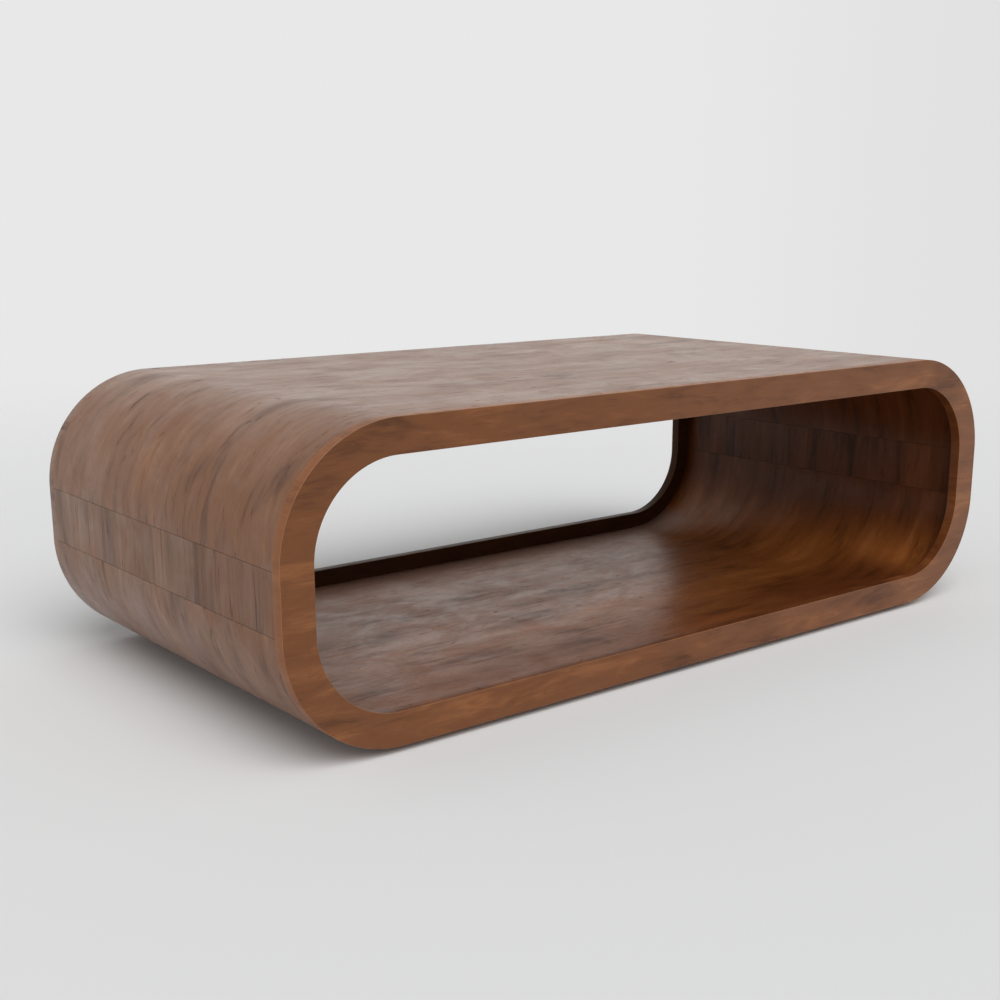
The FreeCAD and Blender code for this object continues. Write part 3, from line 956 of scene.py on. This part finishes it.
@dataclass
class BentPanel:
    """The top or the base of the loop: its two veneers with a bend at each end."""

    level: Level
    sheet: float
    sizes: TableSizes = field(default=SIZES)

    def skin(self, name: str, outer: float, thickness: float) -> bpy.types.Object:
        """One veneer, laid from the left seam round both bends to the right seam.

        Args:
            name: the name of the piece.
            outer: radius of its outside.
            thickness: its thickness.

        Returns:
            The mesh.
        """
        s = self.sizes
        top = self.level is Level.TOP
        centre = s.height - s.bend if top else s.bend
        rise = s.seam_gap / 2 - SEAM_LAP
        start = centre + self.level.value * rise
        left = -s.flat - outer
        former = Former(name, (left, -s.panel_edge, start), (left + thickness, s.panel_edge, start))
        angle = QUARTER_TURN - math.asin(rise / outer)
        former.open()
        former.bend((-s.flat, 0, centre), angle, clockwise=top)
        former.straight((2 * s.flat, 0, 0))
        former.bend((s.flat, 0, centre), angle, clockwise=top)
        return former.done()

    def build(self) -> None:
        """Build and dress both veneers."""
        s = self.sizes
        layers = (
            ("outer_veneer", s.bend, LOOP_OUTSIDE),
            ("inner_veneer", s.bend - s.panel + s.veneer, LOOP_INSIDE),
        )
        for i, (layer, outer, finish) in enumerate(layers):
            node = f"{self.level.title}_{layer}"
            piece = self.skin(f"{node}_laid", outer, s.veneer)
            write_grain(piece, Run.ROUND_THE_LOOP, self.sheet + i)
            dress(piece, node, [finish, VENEER_END])
            darken_ends(piece)


@dataclass
class SideStrip:
    """The straight strip between the two seams of an end: its two veneers."""

    end: End
    sheet: float
    sizes: TableSizes = field(default=SIZES)

    def skin(self, name: str, out: float) -> bpy.types.Object:
        """One veneer, laid straight up from the lower seam.

        Args:
            name: the name of the piece.
            out: how far its outside lies from the middle of the length.

        Returns:
            The mesh.
        """
        s = self.sizes
        low = s.bend + s.seam_gap / 2 - SEAM_LAP
        left, right = sorted((self.end.value * out, self.end.value * (out - s.veneer)))
        former = Former(name, (left, -s.panel_edge, low), (right, s.panel_edge, low))
        former.open().straight((0, 0, s.height - 2 * low))
        return former.done()

    def build(self) -> None:
        """Build and dress both veneers."""
        s = self.sizes
        layers = (
            ("outer_veneer", s.length / 2, LOOP_STRIP),
            ("inner_veneer", s.length / 2 - s.panel + s.veneer, STRIP_INSIDE),
        )
        for i, (layer, out, finish) in enumerate(layers):
            node = f"{self.end.title}_{layer}"
            piece = self.skin(f"{node}_laid", out)
            write_grain(piece, Run.ROUND_THE_LOOP, self.sheet + i)
            dress(piece, node, [finish, VENEER_END])
            darken_ends(piece)


@dataclass
class FaceFrame:
    """A flat frame: the veneers on its two faces and the lippings round its edges."""

    side: Side
    sheet: float
    arris: float = 0.0007
    sizes: TableSizes = field(default=SIZES)

    def across(self, inward: float) -> float:
        """A place along Y, so far behind the face of the frame."""
        return self.side.value * (self.sizes.depth / 2 - inward)

    def ring(self, name: str, inward: Span, width: Span,
             eased: Optional[Callable[[float, float], bool]] = None) -> bpy.types.Object:
        """A ring round the opening, laid from the middle of the foot.

        Args:
            name: the name of the piece.
            inward: its two depths below the face.
            width: its two distances in from the outline.
            eased: says of a depth and a distance whether the corner there is rounded.

        Returns:
            The mesh.
        """
        s = self.sizes
        near, far = sorted(self.across(place) for place in inward)
        former = Former(name, (0, near, width[0]), (0, far, width[1]))
        if eased is not None:
            former.ease(lambda co: eased(s.depth / 2 - abs(co.y), co.z), self.arris)
        low, high = s.seams
        former.open()
        former.straight((s.flat, 0, 0)).bend((s.flat, 0, low), QUARTER_TURN, clockwise=False)
        former.straight((0, 0, s.strip)).bend((s.flat, 0, high), QUARTER_TURN, clockwise=False)
        former.straight((-2 * s.flat, 0, 0)).bend((-s.flat, 0, high), QUARTER_TURN, clockwise=False)
        former.straight((0, 0, -s.strip)).bend((-s.flat, 0, low), QUARTER_TURN, clockwise=False)
        former.straight((s.flat, 0, 0))
        return former.done()

    def face(self, layer: str, inward: Span, finish: Walnut) -> None:
        """A veneer on one of the two faces.

        Args:
            layer: its part of the CAD node's name.
            inward: its two depths below the face.
            finish: its finish.
        """
        s = self.sizes
        node = f"{self.side.title}_{layer}"
        piece = self.ring(f"{node}_laid", inward, (s.lipping, s.frame_width - s.lipping))
        write_grain(piece, Run.ALONG_THE_TABLE, self.sheet)
        dress(piece, node, [finish])

    def lipping(self, layer: str, width: Span, finish: Walnut,
                eased: Callable[[float, float], bool]) -> None:
        """A strip bent round one of the two edges, in the face's own finish where it shows there.

        Args:
            layer: its part of the CAD node's name.
            width: its two distances in from the outline.
            finish: its finish.
            eased: says of a depth and a distance whether the corner there is rounded.
        """
        node = f"{self.side.title}_{layer}"
        piece = self.ring(f"{node}_laid", (0, self.sizes.frame), width, eased)
        write_grain(piece, Run.ALONG_THE_TABLE, self.sheet)
        write_wear_and_highlight(piece)
        dress(piece, node, [finish, FRAME_FACE])
        for polygon in piece.data.polygons:
            polygon.material_index = int(self.side.value * polygon.normal.y > FRONT_FACING)

    def build(self) -> None:
        """Build and dress the two veneers and the two lippings."""
        s = self.sizes
        front = self.side is Side.FRONT
        edge = s.lipping / 2
        self.face("face_veneer", (0, s.frame_veneer), FRAME_FACE)
        self.face("backing_veneer", (s.frame - s.frame_veneer, s.frame), FRAME_BACK_PAINTED_SHADE)
        self.lipping("outer_lipping", (0, s.lipping), FRAME_EDGE if front else LOOP_STRIP,
                     lambda inward, out: inward < edge and out < edge)
        self.lipping("inner_lipping", (s.frame_width - s.lipping, s.frame_width),
                     FRAME_LIP_PAINTED_SHADE if front else FRAME_BACK_PAINTED_SHADE,
                     lambda inward, out: out > s.frame_width - edge)


@dataclass
class HiddenJoinery:
    """The cores, splines and tongues, which keep their CAD shape."""

    nodes: dict[str, bpy.types.Object]

    def build(self) -> None:
        """Dress each node by what it is made of."""
        for name, node in self.nodes.items():
            if name.endswith("core"):
                finish = PLYWOOD
            elif name.endswith(("spline", "tongue")):
                finish = BEECH
            else:
                continue
            node.data.materials.clear()
            node.data.materials.append(WARDROBE.get(finish))
            log.info("%s: kept, in %s", name, finish.name)


def way_out(azimuth: float, elevation: float) -> Vector:
    """The way from the table to a place in the studio.

    Args:
        azimuth: degrees to the right of straight in front.
        elevation: degrees above the floor.

    Returns:
        A vector of length one.
    """
    aside, up = math.radians(azimuth), math.radians(elevation)
    return Vector((math.sin(aside) * math.cos(up), -math.cos(aside) * math.cos(up), math.sin(up)))


def face_inwards(thing: bpy.types.Object, back: Vector) -> None:
    """Turn a lamp or a camera, without rolling it.

    Args:
        thing: the lamp or camera.
        back: the way that its back looks.
    """
    thing.rotation_mode = "QUATERNION"
    thing.rotation_quaternion = (-back).to_track_quat("-Z", "Y")


@dataclass
class Studio:
    """A pale floor that runs out into a pale backdrop, under a broad soft light.

    The floor lies a little below the table's foot, which draws a thin dark line under the frames.
    """

    floor_size: float = 40.0
    floor_cuts: int = 8
    floor_drop: float = 0.0078
    floor_colour: Colour = (0.798, 0.802, 0.804, 1)
    floor_roughness: float = 0.9
    floor_specular: float = 0.1
    floor_fade: Span = (0.7, 3.8)
    camera_side: tuple[float, float, float] = (-0.632, -0.775, 0.0)
    right_side: tuple[float, float, float] = (0.775, -0.632, 0.0)
    backdrop: float = 0.807
    backdrop_right: float = 0.757
    to_the_right: Span = (0.08, 0.33)
    dome: Span = (0.24, 0.56)
    dome_reach: float = 0.7
    low_band: Span = (0.28, 0.62)
    low_reach: float = 0.75
    low_beyond: float = 0.35
    low_near: float = 0.22
    mirrored_shade: float = 0.85
    mirrored_hue: Colour = (1.0, 0.98, 0.955, 1)
    key_azimuth: float = -18.0
    key_elevation: float = 52.0
    key_distance: float = 4.0
    key_strength: float = 1.85
    key_angle: float = 50.0

    def floor(self) -> None:
        """A plain sheet that fades out of sight far from the table."""
        bpy.ops.object.select_all(action="DESELECT")
        bpy.ops.mesh.primitive_plane_add(size=self.floor_size, location=(0, 0, -self.floor_drop))
        sheet = bpy.context.object
        sheet.name = "studio_floor"
        bpy.ops.object.mode_set(mode="EDIT")
        bpy.ops.mesh.subdivide(number_cuts=self.floor_cuts)
        bpy.ops.object.mode_set(mode="OBJECT")
        material, g, shader = new_material("pale_floor")
        g.feed(shader, {"Base Color": self.floor_colour, "Roughness": self.floor_roughness,
                        "Specular IOR Level": self.floor_specular})
        place = g.add("TexCoord").outputs["Object"]
        away = g.add("VectorMath", {0: place}, operation="LENGTH").outputs["Value"]
        clear = g.add("BsdfTransparent")
        fade = {0: g.remap(away, *self.floor_fade), 1: shader.outputs[0], 2: clear.outputs[0]}
        g.feed(g.find("OUTPUT_MATERIAL"), {"Surface": g.add("MixShader", fade).outputs[0]})
        sheet.data.materials.append(material)

    def world(self) -> None:
        """A pale room, dimmer beyond the table than over the camera.

        Low down it has more light straight beyond the table and on the camera's side. Mirrored in
        the varnish it is dark low down on the camera's side. To the camera it is a plain backdrop, a
        little darker to the right.
        """
        world = bpy.data.worlds.new("studio")
        world.use_nodes = True
        bpy.context.scene.world = world
        g = Graph(world.node_tree)
        path = g.add("LightPath")
        way = g.add("TexCoord").outputs["Generated"]
        up = g.add("SeparateXYZ", {0: way}).outputs["Z"]
        facing = g.dot(way, self.camera_side)
        low = g.remap(up, *self.low_band, 1.0, 0.0)
        low_near = g.times(g.remap(facing, 0.0, self.low_reach), low)
        low_beyond = g.times(g.remap(facing, 0.0, -self.low_reach), low)
        dome = g.remap(facing, -self.dome_reach, self.dome_reach, *self.dome)
        dome = g.math("ADD", dome, g.times(low_beyond, self.low_beyond))
        dome = g.math("ADD", dome, g.times(low_near, self.low_near))
        mirrored = g.times(g.rest(g.times(low_near, self.mirrored_shade)), self.backdrop)
        lit = g.between(path.outputs["Is Glossy Ray"], dome, mirrored)
        aside = g.dot(way, self.right_side)
        plain = g.remap(aside, *self.to_the_right, self.backdrop, self.backdrop_right)
        strength = g.between(path.outputs["Is Camera Ray"], lit, plain)
        hue = g.mix(path.outputs["Is Glossy Ray"], (1, 1, 1, 1), self.mirrored_hue)
        g.feed(g.find("BACKGROUND"), {"Strength": strength, "Color": hue})

    def key(self) -> None:
        """A broad soft light, in front of the table, a little to its left and well above it."""
        back = way_out(self.key_azimuth, self.key_elevation)
        bpy.ops.object.select_all(action="DESELECT")
        bpy.ops.object.light_add(type="SUN", location=self.key_distance * back)
        light = bpy.context.object
        light.name = "key_light"
        face_inwards(light, back)
        light.data.energy = self.key_strength
        light.data.angle = math.radians(self.key_angle)

    def build(self) -> None:
        """Build the floor, the world and the light."""
        self.floor()
        self.world()
        self.key()
        log.info("studio: floor, backdrop and key light")


@dataclass
class PhotoCamera:
    """The camera of the photograph, in front of the table and to its left, looking a little down."""

    place: tuple[float, float, float] = (-1.2557, -1.4736, 0.5583)
    azimuth: float = -39.1994
    elevation: float = 13.589
    sensor: float = 36.0
    lens: float = 49.88
    shift: Span = (-0.0162, 0.0524)

    def build(self) -> None:
        """Make the camera and let the scene use it."""
        bpy.ops.object.select_all(action="DESELECT")
        bpy.ops.object.camera_add(location=self.place)
        camera = bpy.context.object
        camera.name = "photo_camera"
        face_inwards(camera, way_out(self.azimuth, self.elevation))
        camera.data.sensor_width = self.sensor
        camera.data.lens = self.lens
        camera.data.shift_x, camera.data.shift_y = self.shift
        bpy.context.scene.camera = camera
        log.info("camera: in place")


def main() -> None:
    """Build the table, its studio and the camera."""
    logging.basicConfig(level=logging.INFO, format="%(name)s: %(message)s")
    bpy.context.scene.view_settings.view_transform = "Standard"
    BentPanel(Level.TOP, sheet=3.1).build()
    BentPanel(Level.BASE, sheet=7.4).build()
    SideStrip(End.LEFT_SIDE, sheet=11.3).build()
    SideStrip(End.RIGHT_SIDE, sheet=15.8).build()
    FaceFrame(Side.FRONT, sheet=21.2).build()
    FaceFrame(Side.BACK, sheet=26.7).build()
    HiddenJoinery(frame["nodes"]).build()
    Studio().build()
    PhotoCamera().build()


if __name__ == "__main__":
    main()
